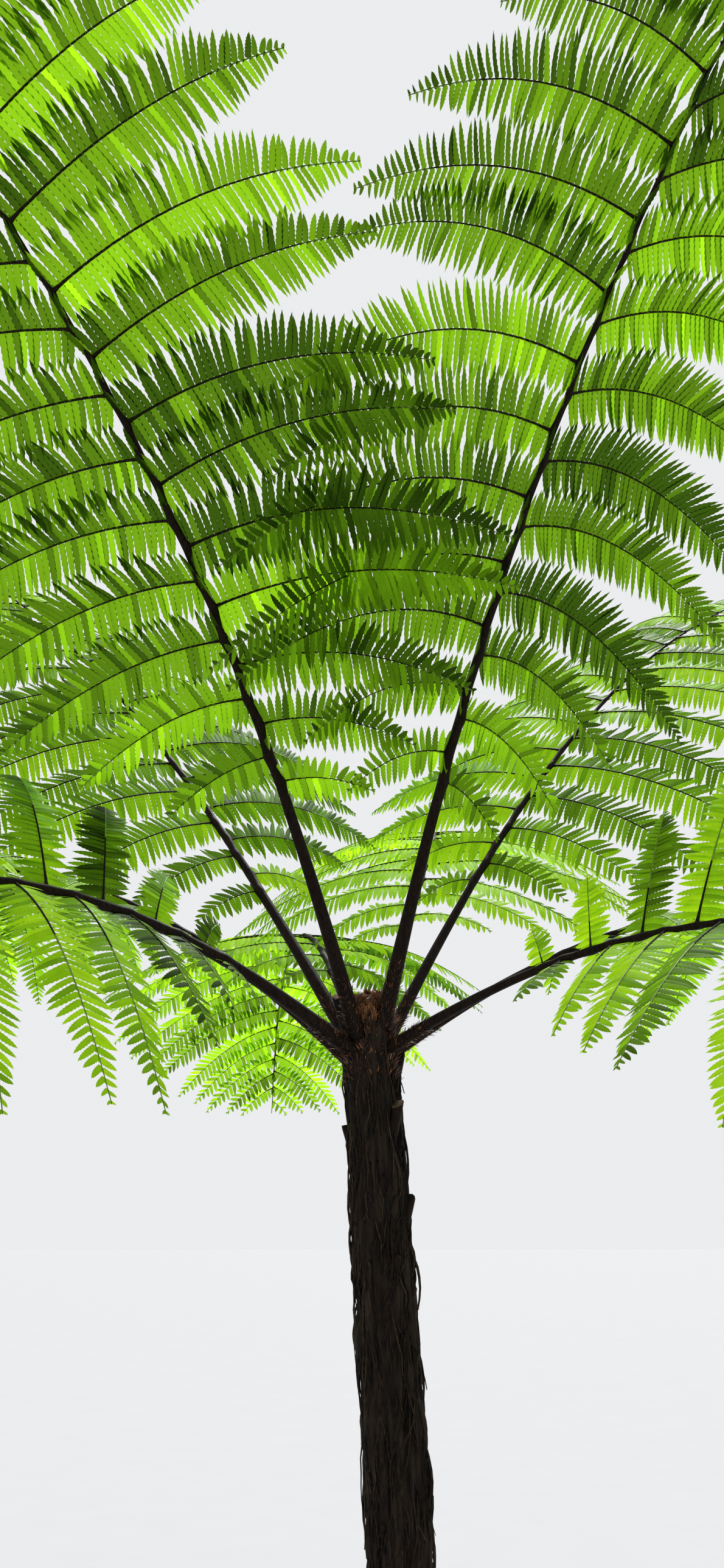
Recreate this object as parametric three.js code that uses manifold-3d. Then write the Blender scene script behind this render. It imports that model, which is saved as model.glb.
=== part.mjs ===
// Tree fern: a slender, fibrous trunk that carries one open crown of long arching fronds.
// Millimetres, +Z up. The origin is the middle of the flat cut under the trunk, at ground level.
// Azimuth 0 faces the front (-Y) and grows towards +X. Angles are in degrees.

import * as THREE from 'three';
import { mergeVertices } from 'three/addons/utils/BufferGeometryUtils.js';
import Module from 'manifold-3d';

const wasm = await Module();
wasm.setup();

// Trunk
const CROWN_HEIGHT = 2000;
const TRUNK_RADIUS_FOOT = 54;
const TRUNK_RADIUS_TOP = 49;
const TRUNK_LEAN = 3;
const TRUNK_SWAY = 12;
const TRUNK_SIDES = 24;
const TRUNK_RINGS = [0, 60, 140, 260, 440, 680, 920, 1160, 1400, 1600, 1800, 1930, 2000];
const FLARE_RADIUS = 105;
const FLARE_HEIGHT = 260;
const FLARE_LOBES = 7;
const FLARE_LOBE_DEPTH = 0.13;
const BARK_RIDGES = 3;
const BARK_RIDGE_DEPTH = 0.035;
const BARK_RIDGE_TWIST = 170;
const HEAD_HEIGHT = 28;
const HEAD_RINGS = [35, 65];

// Fronds: the stipe is the bare stalk, the blade is everything that carries leaflets. Places along
// a frond are shares of its length.
const STIPE_RADIUS_BASE = 17;
const STIPE_RADIUS_BLADE = 11;
const STIPE_SIDES = 9;
const STIPE_STEPS = 7;
const STIPE_ROOT_RADIUS = 40;
const BEND_GROWTH = 1.5;
const PATH_STEPS = 40;
const BLADE_START = 0.17;
const BLADE_FULL_FROM = 0.4;
const BLADE_NARROWS_FROM = 0.6;
const BLADE_SPLIT = 0.52;
const BLADE_END = 0.999;
const BLADE_HALF_WIDTH = 600;
const BLADE_FIRST_SHARE = 0.22;
const BLADE_TIP_SHARE = 0.025;
const BLADE_TAPER = 2;
const BLADE_THICKNESS = 6;
const BLADE_STEPS_ALONG = 7;
const BLADE_STEPS_ACROSS = 3;
const FULL_LENGTH = 2300;

// Each frond leaves the trunk at its azimuth, drop below the crown height, climbing at rise, then
// bends over and turns along its length. Its two halves stand off at lift, plus or minus roll, and
// sag by droop. Its side ribs leave the stalk at the angle base near the trunk, and at the angle
// tip, plus or minus skew, near its point. Where two blades cross, the later one is cut, in an order
// that leaves each of them in one piece.
const FRONDS = [
  {
    name: 'front_right', azimuth: 38, rise: 68.5, bend: 53, turn: -15, length: 2300, drop: 8,
    lift: 11, roll: 8, droop: 1.2, base: 90, tip: 54, skew: -23,
  },
  {
    name: 'front_left', azimuth: -32, rise: 60, bend: 58, turn: 0, length: 2300, drop: 22,
    lift: 6, roll: 7, droop: 0.8, base: 90, tip: 59, skew: 10,
  },
  {
    name: 'back', azimuth: 164, rise: 42, bend: 42, turn: 18, length: 2150, drop: 0,
    lift: 6, roll: 0, droop: 0.9, base: 90, tip: 60, skew: 0,
  },
  {
    name: 'back_right', azimuth: 128, rise: 57, bend: 33, turn: -4, length: 2200, drop: 26,
    lift: 4, roll: 26, droop: 0.9, base: 90, tip: 60, skew: 0,
  },
  {
    name: 'back_left', azimuth: -130, rise: 54, bend: 20, turn: 4, length: 2200, drop: 34,
    lift: 4, roll: -26, droop: 0.9, base: 90, tip: 60, skew: 0,
  },
  {
    name: 'low_right', azimuth: 48, rise: 20.5, bend: 102, turn: 6, length: 1900, drop: 44,
    lift: 24, roll: 46, droop: 0.45, base: 98, tip: 34, skew: -8,
  },
  {
    name: 'low_left', azimuth: -50, rise: 27.8, bend: 110, turn: 6, length: 1780, drop: 50,
    lift: 25, roll: -48, droop: 0.85, base: 106, tip: 26, skew: 0,
  },
  {
    name: 'side_right', azimuth: 95, rise: 34, bend: 110, turn: 10, length: 2000, drop: 49,
    lift: 6, roll: 0, droop: 0.9, base: 90, tip: 60, skew: 0,
  },
  {
    name: 'low_back', azimuth: -166, rise: 40, bend: 98, turn: -8, length: 2000, drop: 62,
    lift: 6, roll: 0, droop: 0.9, base: 90, tip: 60, skew: 0,
  },
  {
    name: 'side_left', azimuth: -95, rise: 42, bend: 118, turn: -12, length: 2000, drop: 61,
    lift: 6, roll: 0, droop: 0.9, base: 90, tip: 60, skew: 0,
  },
];

// Young furled fronds at the heart of the crown, and the stump of a frond that has broken off
const CROZIERS = [
  { azimuth: -50, offset: 28, stem: 17 },
  { azimuth: 55, offset: 28, stem: 23 },
  { azimuth: 178, offset: 28, stem: 28 },
];
const CROZIER_COIL = 8;
const CROZIER_RADIUS = 7.5;
const CROZIER_TIP_RADIUS = 5;
const CROZIER_SINK = 20;
const CROZIER_TURN = 200;
const CROZIER_TIGHTENING = 0.2;
const CROZIER_STEPS = 12;
const CROZIER_SIDES = 8;
const STUMP = { azimuth: -76, rise: 72, length: 80, drop: 20, radius: 10, tipRadius: 8, sides: 8 };

const GAP = 0.3;
const MERGE_DISTANCE = 1e-4;
const UP = new THREE.Vector3(0, 0, 1);

const bark = new THREE.MeshStandardMaterial({ color: 0x2b2019, roughness: 0.95, metalness: 0 });
const stalk = new THREE.MeshStandardMaterial({ color: 0x1c1510, roughness: 0.6, metalness: 0 });
const scales = new THREE.MeshStandardMaterial({ color: 0x5a3420, roughness: 0.9, metalness: 0 });
const leaf = new THREE.MeshStandardMaterial({
  color: 0x4f8f1c, roughness: 0.55, metalness: 0, side: THREE.DoubleSide,
});

const radians = THREE.MathUtils.degToRad;
const mix = THREE.MathUtils.lerp;
const smooth = THREE.MathUtils.smoothstep;

function heading(azimuth, elevation) {
  const a = radians(azimuth);
  const e = radians(elevation);
  return new THREE.Vector3(Math.sin(a) * Math.cos(e), -Math.cos(a) * Math.cos(e), Math.sin(e));
}

function trunkAxis(height) {
  const t = height / CROWN_HEIGHT;
  return new THREE.Vector3(
    -Math.tan(radians(TRUNK_LEAN)) * height + TRUNK_SWAY * Math.sin(Math.PI * t) * t,
    TRUNK_SWAY * Math.sin(Math.PI * t),
    height,
  );
}

function flareAt(height) {
  return Math.max(0, 1 - height / FLARE_HEIGHT) ** 2;
}

// The trunk: a turned profile with a lobed flare at its foot, bent along the leaning axis
function trunkGeometry(extra) {
  const profile = [new THREE.Vector2(0, 0)];
  for (const height of TRUNK_RINGS) {
    const shaft = mix(TRUNK_RADIUS_FOOT, TRUNK_RADIUS_TOP, height / CROWN_HEIGHT);
    profile.push(new THREE.Vector2(mix(shaft, FLARE_RADIUS, flareAt(height)) + extra, height));
  }
  for (const turn of HEAD_RINGS) {
    const radius = (TRUNK_RADIUS_TOP + extra) * Math.cos(radians(turn));
    const height = CROWN_HEIGHT + (HEAD_HEIGHT + extra) * Math.sin(radians(turn));
    profile.push(new THREE.Vector2(radius, height));
  }
  profile.push(new THREE.Vector2(0, CROWN_HEIGHT + HEAD_HEIGHT + extra));
  const geometry = new THREE.LatheGeometry(profile, TRUNK_SIDES).rotateX(Math.PI / 2);
  const place = geometry.attributes.position;
  const point = new THREE.Vector3();
  for (let i = 0; i < place.count; i += 1) {
    point.fromBufferAttribute(place, i);
    const angle = Math.atan2(point.y, point.x);
    const lobes = 1 + FLARE_LOBE_DEPTH * flareAt(point.z) * Math.cos(FLARE_LOBES * angle);
    const turn = BARK_RIDGES * angle + point.z / BARK_RIDGE_TWIST;
    const ridges = 1 + BARK_RIDGE_DEPTH * Math.cos(turn);
    const axis = trunkAxis(point.z);
    point.x = point.x * lobes * ridges + axis.x;
    point.y = point.y * lobes * ridges + axis.y;
    place.setXYZ(i, point.x, point.y, point.z);
  }
  return geometry;
}

// A closed tapering rod: a capped cylinder bent along a path
function rodGeometry(path, end, radiusFrom, radiusTo, sides, steps, sideways) {
  const geometry = new THREE.CylinderGeometry(1, 1, 1, sides, steps);
  const place = geometry.attributes.position;
  for (let i = 0; i < place.count; i += 1) {
    const t = place.getY(i) + 0.5;
    const u = end * t;
    const tangent = path.getTangentAt(u);
    const across = new THREE.Vector3().crossVectors(sideways, tangent).normalize();
    const along = new THREE.Vector3().crossVectors(across, tangent);
    const radius = mix(radiusFrom, radiusTo, t);
    const point = path.getPointAt(u);
    point.addScaledVector(across, place.getX(i) * radius);
    point.addScaledVector(along, place.getZ(i) * radius);
    place.setXYZ(i, point.x, point.y, point.z);
  }
  return geometry;
}

function frondPath(frond) {
  const start = trunkAxis(CROWN_HEIGHT - frond.drop);
  start.addScaledVector(heading(frond.azimuth, 0), STIPE_ROOT_RADIUS);
  const points = [start];
  for (let i = 0; i < PATH_STEPS; i += 1) {
    const u = (i + 0.5) / PATH_STEPS;
    const elevation = frond.rise - frond.bend * u ** BEND_GROWTH;
    const step = heading(frond.azimuth + frond.turn * u, elevation);
    points.push(points[i].clone().addScaledVector(step, frond.length / PATH_STEPS));
  }
  return new THREE.CatmullRomCurve3(points);
}

// Half width of the blade's outline: short leaflets by the stalk, full in the middle, a long point
function bladeHalfWidth(u) {
  const opening = mix(BLADE_FIRST_SHARE, 1, smooth(u, BLADE_START, BLADE_FULL_FROM));
  const past = Math.max(0, (u - BLADE_NARROWS_FROM) / (1 - BLADE_NARROWS_FROM));
  return BLADE_HALF_WIDTH * opening * Math.max(1 - past ** BLADE_TAPER, BLADE_TIP_SHARE);
}

function bladeLift(frond, side) {
  return radians(frond.lift + frond.roll * side);
}

// A point of the blade: u runs along the frond, out from its rib (0) to its edge (1) on one side,
// rise stands off its surface and shift moves the point sideways
function bladePoint(path, frond, u, out, side, rise, shift) {
  const tangent = path.getTangentAt(u);
  const lateral = new THREE.Vector3().crossVectors(UP, tangent).normalize();
  const normal = new THREE.Vector3().crossVectors(tangent, lateral);
  const reach = bladeHalfWidth(u) * (frond.length / FULL_LENGTH) * out;
  const along = Math.max(0, (u - BLADE_START) / (1 - BLADE_START));
  const forward = radians(mix(frond.base, frond.tip + frond.skew * side, along));
  const lift = bladeLift(frond, side);
  const outwards = Math.sin(forward) * reach;
  const point = path.getPointAt(u);
  point.addScaledVector(tangent, Math.cos(forward) * reach);
  point.addScaledVector(lateral, side * (Math.cos(lift) * outwards - Math.sin(lift) * rise + shift));
  point.addScaledVector(normal, Math.sin(lift) * outwards + Math.cos(lift) * rise);
  return point.addScaledVector(UP, -frond.droop * reach * out / 2);
}

// Half of a stretch of blade: a subdivided box laid over the frond's surface
function bladeGeometry(path, frond, from, to, side, extra) {
  const geometry = new THREE.BoxGeometry(1, 1, 1, BLADE_STEPS_ACROSS, BLADE_STEPS_ALONG, 1);
  const place = geometry.attributes.position;
  const thickness = BLADE_THICKNESS + 2 * extra;
  const ends = extra / frond.length;
  const clearance = GAP + BLADE_THICKNESS / 2 * Math.abs(Math.sin(bladeLift(frond, side)));
  for (let i = 0; i < place.count; i += 1) {
    const out = side * place.getX(i) + 0.5;
    const u = mix(from - ends, to + ends, place.getY(i) + 0.5);
    const shift = clearance + (2 * out - 1) * extra;
    const point = bladePoint(path, frond, u, out, side, -place.getZ(i) * thickness, shift);
    place.setXYZ(i, point.x, point.y, point.z);
  }
  return geometry;
}

// A furled young frond: a short stem that curls inwards, over the heart of the crown
function crozierPath(crozier) {
  const out = heading(crozier.azimuth, 0);
  const points = [trunkAxis(CROWN_HEIGHT).addScaledVector(out, crozier.offset)];
  points[0].z += HEAD_HEIGHT - CROZIER_SINK;
  const top = points[0].clone().addScaledVector(UP, CROZIER_SINK + crozier.stem);
  points.push(points[0].clone().lerp(top, 0.5), top);
  for (let i = 1; i <= CROZIER_STEPS; i += 1) {
    const t = i / CROZIER_STEPS;
    const angle = radians(CROZIER_TURN) * t;
    const radius = CROZIER_COIL * (1 - CROZIER_TIGHTENING * t);
    const point = top.clone().addScaledVector(out, radius * Math.cos(angle) - CROZIER_COIL);
    points.push(point.addScaledVector(UP, radius * Math.sin(angle)));
  }
  return new THREE.CatmullRomCurve3(points);
}

function solidOf(geometry) {
  const bare = geometry.clone();
  bare.deleteAttribute('normal');
  bare.deleteAttribute('uv');
  const merged = mergeVertices(bare, MERGE_DISTANCE);
  return new wasm.Manifold(new wasm.Mesh({
    numProp: 3,
    vertProperties: new Float32Array(merged.attributes.position.array),
    triVerts: new Uint32Array(merged.index.array),
  }));
}

function geometryOf(solid) {
  const mesh = solid.getMesh();
  const geometry = new THREE.BufferGeometry();
  geometry.setAttribute('position', new THREE.BufferAttribute(mesh.vertProperties, 3));
  geometry.setIndex(new THREE.BufferAttribute(mesh.triVerts, 1));
  geometry.computeVertexNormals();
  return geometry;
}

const fern = new THREE.Group();
const neighbours = [];

// Adds a piece, cut clear of every earlier piece; shape(extra) gives it grown by extra
function addPiece(name, material, shape) {
  let solid = solidOf(shape(0));
  for (const neighbour of neighbours) {
    solid = solid.subtract(neighbour);
  }
  const bodies = solid.decompose();
  bodies.sort((a, b) => b.volume() - a.volume());
  neighbours.push(solidOf(shape(GAP)));
  const mesh = new THREE.Mesh(geometryOf(bodies[0]), material);
  mesh.name = name;
  fern.add(mesh);
}

addPiece('trunk', bark, trunkGeometry);

CROZIERS.forEach((crozier, index) => {
  const path = crozierPath(crozier);
  const sideways = heading(crozier.azimuth + 90, 0);
  addPiece(`crozier_${index + 1}`, scales, (extra) => rodGeometry(
    path, 1, CROZIER_RADIUS + extra, CROZIER_TIP_RADIUS + extra, CROZIER_SIDES,
    CROZIER_STEPS, sideways,
  ));
});

for (const frond of FRONDS) {
  const path = frondPath(frond);
  const end = BLADE_START - 2 * GAP / frond.length;
  addPiece(`${frond.name}_frond_stipe`, stalk, (extra) => rodGeometry(
    path, end + extra / frond.length, STIPE_RADIUS_BASE + extra, STIPE_RADIUS_BLADE + extra,
    STIPE_SIDES, STIPE_STEPS, UP,
  ));
}

const stumpStart = trunkAxis(CROWN_HEIGHT - STUMP.drop)
  .addScaledVector(heading(STUMP.azimuth, 0), STIPE_ROOT_RADIUS);
const stumpEnd = stumpStart.clone().addScaledVector(heading(STUMP.azimuth, STUMP.rise), STUMP.length);
const stumpPath = new THREE.LineCurve3(stumpStart, stumpEnd);
addPiece('broken_stipe', stalk, (extra) => rodGeometry(
  stumpPath, 1, STUMP.radius + extra, STUMP.tipRadius + extra, STUMP.sides, 1, UP,
));

const SIDES = [{ name: 'left', side: 1 }, { name: 'right', side: -1 }];
for (const frond of FRONDS) {
  const path = frondPath(frond);
  for (const { name, side } of SIDES) {
    const split = BLADE_SPLIT + 2 * GAP / frond.length;
    addPiece(`${frond.name}_frond_${name}_lower`, leaf, (extra) => bladeGeometry(
      path, frond, BLADE_START, BLADE_SPLIT, side, extra,
    ));
    addPiece(`${frond.name}_frond_${name}_upper`, leaf, (extra) => bladeGeometry(
      path, frond, split, BLADE_END, side, extra,
    ));
  }
}

export default fern;
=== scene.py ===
import math

import bpy
import numpy as np
from mathutils import Matrix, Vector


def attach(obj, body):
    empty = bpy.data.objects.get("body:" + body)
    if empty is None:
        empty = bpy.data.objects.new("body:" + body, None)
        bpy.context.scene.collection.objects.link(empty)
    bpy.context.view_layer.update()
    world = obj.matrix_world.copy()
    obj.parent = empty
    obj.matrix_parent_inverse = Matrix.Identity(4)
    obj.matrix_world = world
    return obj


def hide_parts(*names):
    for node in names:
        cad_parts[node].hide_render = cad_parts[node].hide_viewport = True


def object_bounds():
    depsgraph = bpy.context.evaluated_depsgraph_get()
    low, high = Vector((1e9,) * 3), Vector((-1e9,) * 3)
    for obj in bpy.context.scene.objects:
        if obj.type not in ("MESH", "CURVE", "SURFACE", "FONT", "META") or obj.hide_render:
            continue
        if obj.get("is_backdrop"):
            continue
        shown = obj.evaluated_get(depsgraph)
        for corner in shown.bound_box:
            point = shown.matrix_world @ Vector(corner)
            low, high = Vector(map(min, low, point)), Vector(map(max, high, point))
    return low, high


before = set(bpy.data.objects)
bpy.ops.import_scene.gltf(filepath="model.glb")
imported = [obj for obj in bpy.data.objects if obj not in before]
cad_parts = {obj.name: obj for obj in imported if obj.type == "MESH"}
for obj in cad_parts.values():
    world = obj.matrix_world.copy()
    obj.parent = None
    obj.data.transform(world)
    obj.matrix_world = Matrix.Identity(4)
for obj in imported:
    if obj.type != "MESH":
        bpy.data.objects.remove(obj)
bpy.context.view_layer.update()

# Trunk
# The real trunk is a slim woody column wrapped in a mat of black rootlets. It leans a
# little, swells to a lobed flare at its foot and ends in a low dome between the stalks.
CROWN_HEIGHT = 2.0
TRUNK_RADIUS_FOOT = 0.054
TRUNK_RADIUS_TOP = 0.049
TRUNK_LEAN = math.radians(3.0)
TRUNK_SWAY = 0.012
FLARE_RADIUS = 0.105
FLARE_HEIGHT = 0.26
FLARE_LOBES = 7
FLARE_LOBE_DEPTH = 0.13
BARK_RIDGES = 3
BARK_RIDGE_DEPTH = 0.035
BARK_RIDGE_TWIST = 0.17
HEAD_HEIGHT = 0.028
BARK_SIDES = 120
BARK_RINGS = 380
BARK_RELIEF = 0.0075
BARK_STRANDS = dict(seed=11, count=26, turns=34, rises=22.0)
BARK_CLODS = dict(seed=12, count=14, turns=7, rises=70.0)
BARK_STRAND_SHARE = 0.45
BARK_CLOD_SHARE = 0.55
BARK_FOOT_FADE = 0.01
BARK_HEAD_FADE = 0.03
CREST_GAP = 0.0004
GRAIN_STRETCH = (1.0, 1.0, 0.25)
UP = np.array([0.0, 0.0, 1.0])


def mesh_object(name, points, faces, materials, material_index=None):
    """A mesh object at the origin, smooth shaded, from arrays of points and faces."""
    mesh = bpy.data.meshes.new(name)
    mesh.from_pydata(np.asarray(points).tolist(), [], [list(face) for face in faces])
    for material in materials:
        mesh.materials.append(material)
    if material_index is not None:
        mesh.polygons.foreach_set("material_index", np.asarray(material_index, np.int32))
    mesh.polygons.foreach_set("use_smooth", np.ones(len(mesh.polygons), bool))
    mesh.update()
    thing = bpy.data.objects.new(name, mesh)
    bpy.context.scene.collection.objects.link(thing)
    return thing


def hand_over(piece, nodes):
    """Every piece of the plant rides on its one body and stands for its CAD nodes."""
    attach(piece, "root")
    if nodes:
        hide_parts(*nodes)


def trunk_axis(height):
    """Middle of the trunk at each height."""
    t = np.asarray(height) / CROWN_HEIGHT
    sway = TRUNK_SWAY * np.sin(np.pi * t)
    return np.stack([-np.tan(TRUNK_LEAN) * CROWN_HEIGHT * t + sway * t, sway, CROWN_HEIGHT * t], -1)


def trunk_radius(height, angle):
    """Radius of the trunk with its flare, ridges and domed head."""
    t = np.clip(height / CROWN_HEIGHT, 0.0, 1.0)
    shaft = TRUNK_RADIUS_FOOT + (TRUNK_RADIUS_TOP - TRUNK_RADIUS_FOOT) * t
    flare = np.clip(1.0 - height / FLARE_HEIGHT, 0.0, 1.0) ** 2
    radius = shaft + (FLARE_RADIUS - shaft) * flare
    radius = radius * (1.0 + FLARE_LOBE_DEPTH * flare * np.cos(FLARE_LOBES * angle))
    ridges = np.cos(BARK_RIDGES * angle + height / BARK_RIDGE_TWIST)
    above = np.clip(height - CROWN_HEIGHT, 0.0, HEAD_HEIGHT) / HEAD_HEIGHT
    dome = np.sqrt(np.clip(1.0 - above ** 2, 0.0, 1.0))
    return radius * (1.0 + BARK_RIDGE_DEPTH * ridges) * dome


def ripple(angle, height, seed, count, turns, rises):
    """Uneven relief that closes round the trunk: a seeded sum of slanting waves."""
    draw = np.random.default_rng(seed)
    total = np.zeros_like(angle)
    for _ in range(count):
        around = draw.integers(1, turns)
        upward = draw.uniform(-rises, rises)
        shift = draw.uniform(0.0, 2.0 * np.pi)
        total = total + np.cos(around * angle + upward * height + shift)
    return total / math.sqrt(count)


def bark_radius(height, angle):
    """Radius of the trunk with the relief of its mat of rootlets."""
    strands = ripple(angle, height, **BARK_STRANDS)
    clods = ripple(angle, height, **BARK_CLODS)
    relief = BARK_RELIEF * (BARK_STRAND_SHARE * strands + BARK_CLOD_SHARE * clods)
    foot = np.clip(height / BARK_FOOT_FADE, 0.0, 1.0)
    head = np.clip((CROWN_HEIGHT + HEAD_HEIGHT - height) / BARK_HEAD_FADE, 0.0, 1.0)
    return trunk_radius(height, angle) + relief * foot * head


def on_trunk(height, angle, radius):
    """Point at a height, an angle round the trunk and a distance from its middle."""
    axis = trunk_axis(height)
    x = axis[..., 0] + radius * np.cos(angle)
    y = axis[..., 1] + radius * np.sin(angle)
    return np.stack([x, y, height], -1)


def mottled(name, dark, light, scale, rough, bump, stretch=(1.0, 1.0, 1.0)):
    """A mottled surface: two colours mixed by noise on Object coordinates, with a bump."""
    material = bpy.data.materials.new(name)
    material.use_nodes = True
    nodes = material.node_tree.nodes
    links = material.node_tree.links
    shader = nodes["Principled BSDF"]
    place = nodes.new("ShaderNodeTexCoord")
    mapping = nodes.new("ShaderNodeMapping")
    mapping.inputs["Scale"].default_value = stretch
    links.new(place.outputs["Object"], mapping.inputs["Vector"])
    noise = nodes.new("ShaderNodeTexNoise")
    noise.inputs["Scale"].default_value = scale
    noise.inputs["Detail"].default_value = 6.0
    links.new(mapping.outputs["Vector"], noise.inputs["Vector"])
    ramp = nodes.new("ShaderNodeValToRGB")
    ramp.color_ramp.elements[0].position = 0.32
    ramp.color_ramp.elements[0].color = (*dark, 1.0)
    ramp.color_ramp.elements[1].position = 0.70
    ramp.color_ramp.elements[1].color = (*light, 1.0)
    links.new(noise.outputs["Fac"], ramp.inputs["Fac"])
    links.new(ramp.outputs["Color"], shader.inputs["Base Color"])
    shader.inputs["Roughness"].default_value = rough
    shader.inputs["Specular IOR Level"].default_value = 0.25
    relief = nodes.new("ShaderNodeBump")
    relief.inputs["Strength"].default_value = bump
    relief.inputs["Distance"].default_value = 0.002
    links.new(noise.outputs["Fac"], relief.inputs["Height"])
    links.new(relief.outputs["Normal"], shader.inputs["Normal"])
    return material


bark = mottled(
    "bark", (0.0035, 0.0022, 0.0016), (0.030, 0.018, 0.011), 90.0, 0.9, 0.8, GRAIN_STRETCH,
)

ring_height = np.linspace(0.0, CROWN_HEIGHT + HEAD_HEIGHT - CREST_GAP, BARK_RINGS)
ring_angle = np.linspace(0.0, 2.0 * np.pi, BARK_SIDES, endpoint=False)
height, angle = np.meshgrid(ring_height, ring_angle, indexing="ij")
rows = on_trunk(height, angle, bark_radius(height, angle)).reshape(-1, 3)
foot = np.array([[0.0, 0.0, 0.0]])
crest = trunk_axis(np.array([CROWN_HEIGHT + HEAD_HEIGHT]))
crest[:, 2] = CROWN_HEIGHT + HEAD_HEIGHT
trunk_points = np.vstack([rows, foot, crest])
trunk_faces = []
for ring in range(BARK_RINGS - 1):
    for side in range(BARK_SIDES):
        after = (side + 1) % BARK_SIDES
        low, high = ring * BARK_SIDES, (ring + 1) * BARK_SIDES
        trunk_faces.append((low + side, low + after, high + after, high + side))
last = (BARK_RINGS - 1) * BARK_SIDES
for side in range(BARK_SIDES):
    after = (side + 1) % BARK_SIDES
    trunk_faces.append((len(rows), after, side))
    trunk_faces.append((len(rows) + 1, last + side, last + after))
trunk = mesh_object("trunk_bark", trunk_points, trunk_faces, [bark])
hand_over(trunk, ["trunk"])

# Rootlets
# Wiry black-brown rootlets grow down over the trunk and mat together. Loose ones stand off
# a little, so the outline is hairy. Each is a short wavy strand pressed on at both ends.
ROOTLET_COUNT = 2600
ROOTLET_STEPS = 7
ROOTLET_SIDES = 3
ROOTLET_LENGTHS = (0.05, 0.15)
ROOTLET_RADII = (0.0008, 0.0019)
ROOTLET_TILT = 0.22
ROOTLET_WANDER = 1.6
ROOTLET_BOW = 3.2
ROOTLET_SUNK = 1.0
ROOTLET_TAPER = 0.5
ROOTLET_FLATNESS = (0.8, 2.0)
ROOTLET_DARK_SHARE = 0.7
ROOTLET_LOWEST = 0.04
ROOTLET_BELOW_CROWN = 0.005
ROOTLET_OFF_GROUND = 0.01


def unit(vector):
    """The vector at length 1."""
    return vector / np.linalg.norm(vector, axis=-1, keepdims=True)


def tapering_rod(points, radii, sides, reference=None):
    """Points and faces of a closed, tapering rod along a path."""
    points = np.asarray(points)
    tangent = unit(np.gradient(points, axis=0))
    beside = UP if reference is None else reference
    across = unit(np.cross(np.broadcast_to(beside, tangent.shape), tangent))
    upward = np.cross(tangent, across)
    turn = np.linspace(0.0, 2.0 * np.pi, sides, endpoint=False)
    ring = across[:, None] * np.cos(turn)[None, :, None]
    ring = ring + upward[:, None] * np.sin(turn)[None, :, None]
    body = (points[:, None] + ring * np.asarray(radii)[:, None, None]).reshape(-1, 3)
    count = len(points)
    first = np.arange(sides)
    after = (first + 1) % sides
    base = (np.arange(count - 1) * sides)[:, None]
    quads = np.stack([base + first, base + after, base + sides + after, base + sides + first], -1)
    faces = [tuple(q) for q in quads.reshape(-1, 4).tolist()]
    bottom, top = len(body), len(body) + 1
    end = (count - 1) * sides
    faces += [(bottom, int(b), int(a)) for a, b in zip(first, after)]
    faces += [(top, int(end + a), int(end + b)) for a, b in zip(first, after)]
    return np.vstack([body, points[:1], points[-1:]]), faces


def scatter_tree(name, shape_names, tones):
    """Geometry Nodes that put a shape on every point, turned, sized and toned by the point."""
    group = bpy.data.node_groups.new(name, "GeometryNodeTree")
    face = group.interface
    face.new_socket("Geometry", in_out="INPUT", socket_type="NodeSocketGeometry")
    sockets = {"Size": face.new_socket("Size", in_out="INPUT", socket_type="NodeSocketFloat")}
    for label in shape_names:
        sockets[label] = face.new_socket(label, in_out="INPUT", socket_type="NodeSocketObject")
    face.new_socket("Geometry", in_out="OUTPUT", socket_type="NodeSocketGeometry")
    new = group.nodes.new
    link = group.links.new
    start = new("NodeGroupInput")
    end = new("NodeGroupOutput")
    shapes = new("GeometryNodeJoinGeometry")
    for label in reversed(shape_names):
        info = new("GeometryNodeObjectInfo")
        link(start.outputs[label], info.inputs["Object"])
        info.inputs["As Instance"].default_value = True
        link(info.outputs["Geometry"], shapes.inputs["Geometry"])

    def attribute(key, kind):
        node = new("GeometryNodeInputNamedAttribute")
        node.data_type = kind
        node.inputs["Name"].default_value = key
        return node.outputs["Attribute"]

    place = new("GeometryNodeInstanceOnPoints")
    link(start.outputs["Geometry"], place.inputs["Points"])
    link(shapes.outputs["Geometry"], place.inputs["Instance"])
    place.inputs["Pick Instance"].default_value = True
    link(attribute("kind", "INT"), place.inputs["Instance Index"])
    turn = new("FunctionNodeEulerToRotation")
    link(attribute("turn", "FLOAT_VECTOR"), turn.inputs["Euler"])
    link(turn.outputs["Rotation"], place.inputs["Rotation"])
    grow = new("ShaderNodeVectorMath")
    grow.operation = "SCALE"
    link(attribute("size", "FLOAT_VECTOR"), grow.inputs["Vector"])
    link(start.outputs["Size"], grow.inputs["Scale"])
    link(grow.outputs["Vector"], place.inputs["Scale"])
    real = new("GeometryNodeRealizeInstances")
    link(place.outputs["Instances"], real.inputs["Geometry"])
    flow = real.outputs["Geometry"]
    for number, tone in enumerate(tones):
        same = new("FunctionNodeCompare")
        same.data_type = "INT"
        same.operation = "EQUAL"
        ends = {socket.identifier: socket for socket in same.inputs}
        link(attribute("tone", "INT"), ends["A_INT"])
        ends["B_INT"].default_value = number
        paint = new("GeometryNodeSetMaterial")
        paint.inputs["Material"].default_value = tone
        link(flow, paint.inputs["Geometry"])
        link(same.outputs["Result"], paint.inputs["Selection"])
        flow = paint.outputs["Geometry"]
    link(flow, end.inputs["Geometry"])
    return group, {label: socket.identifier for label, socket in sockets.items()}


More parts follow.
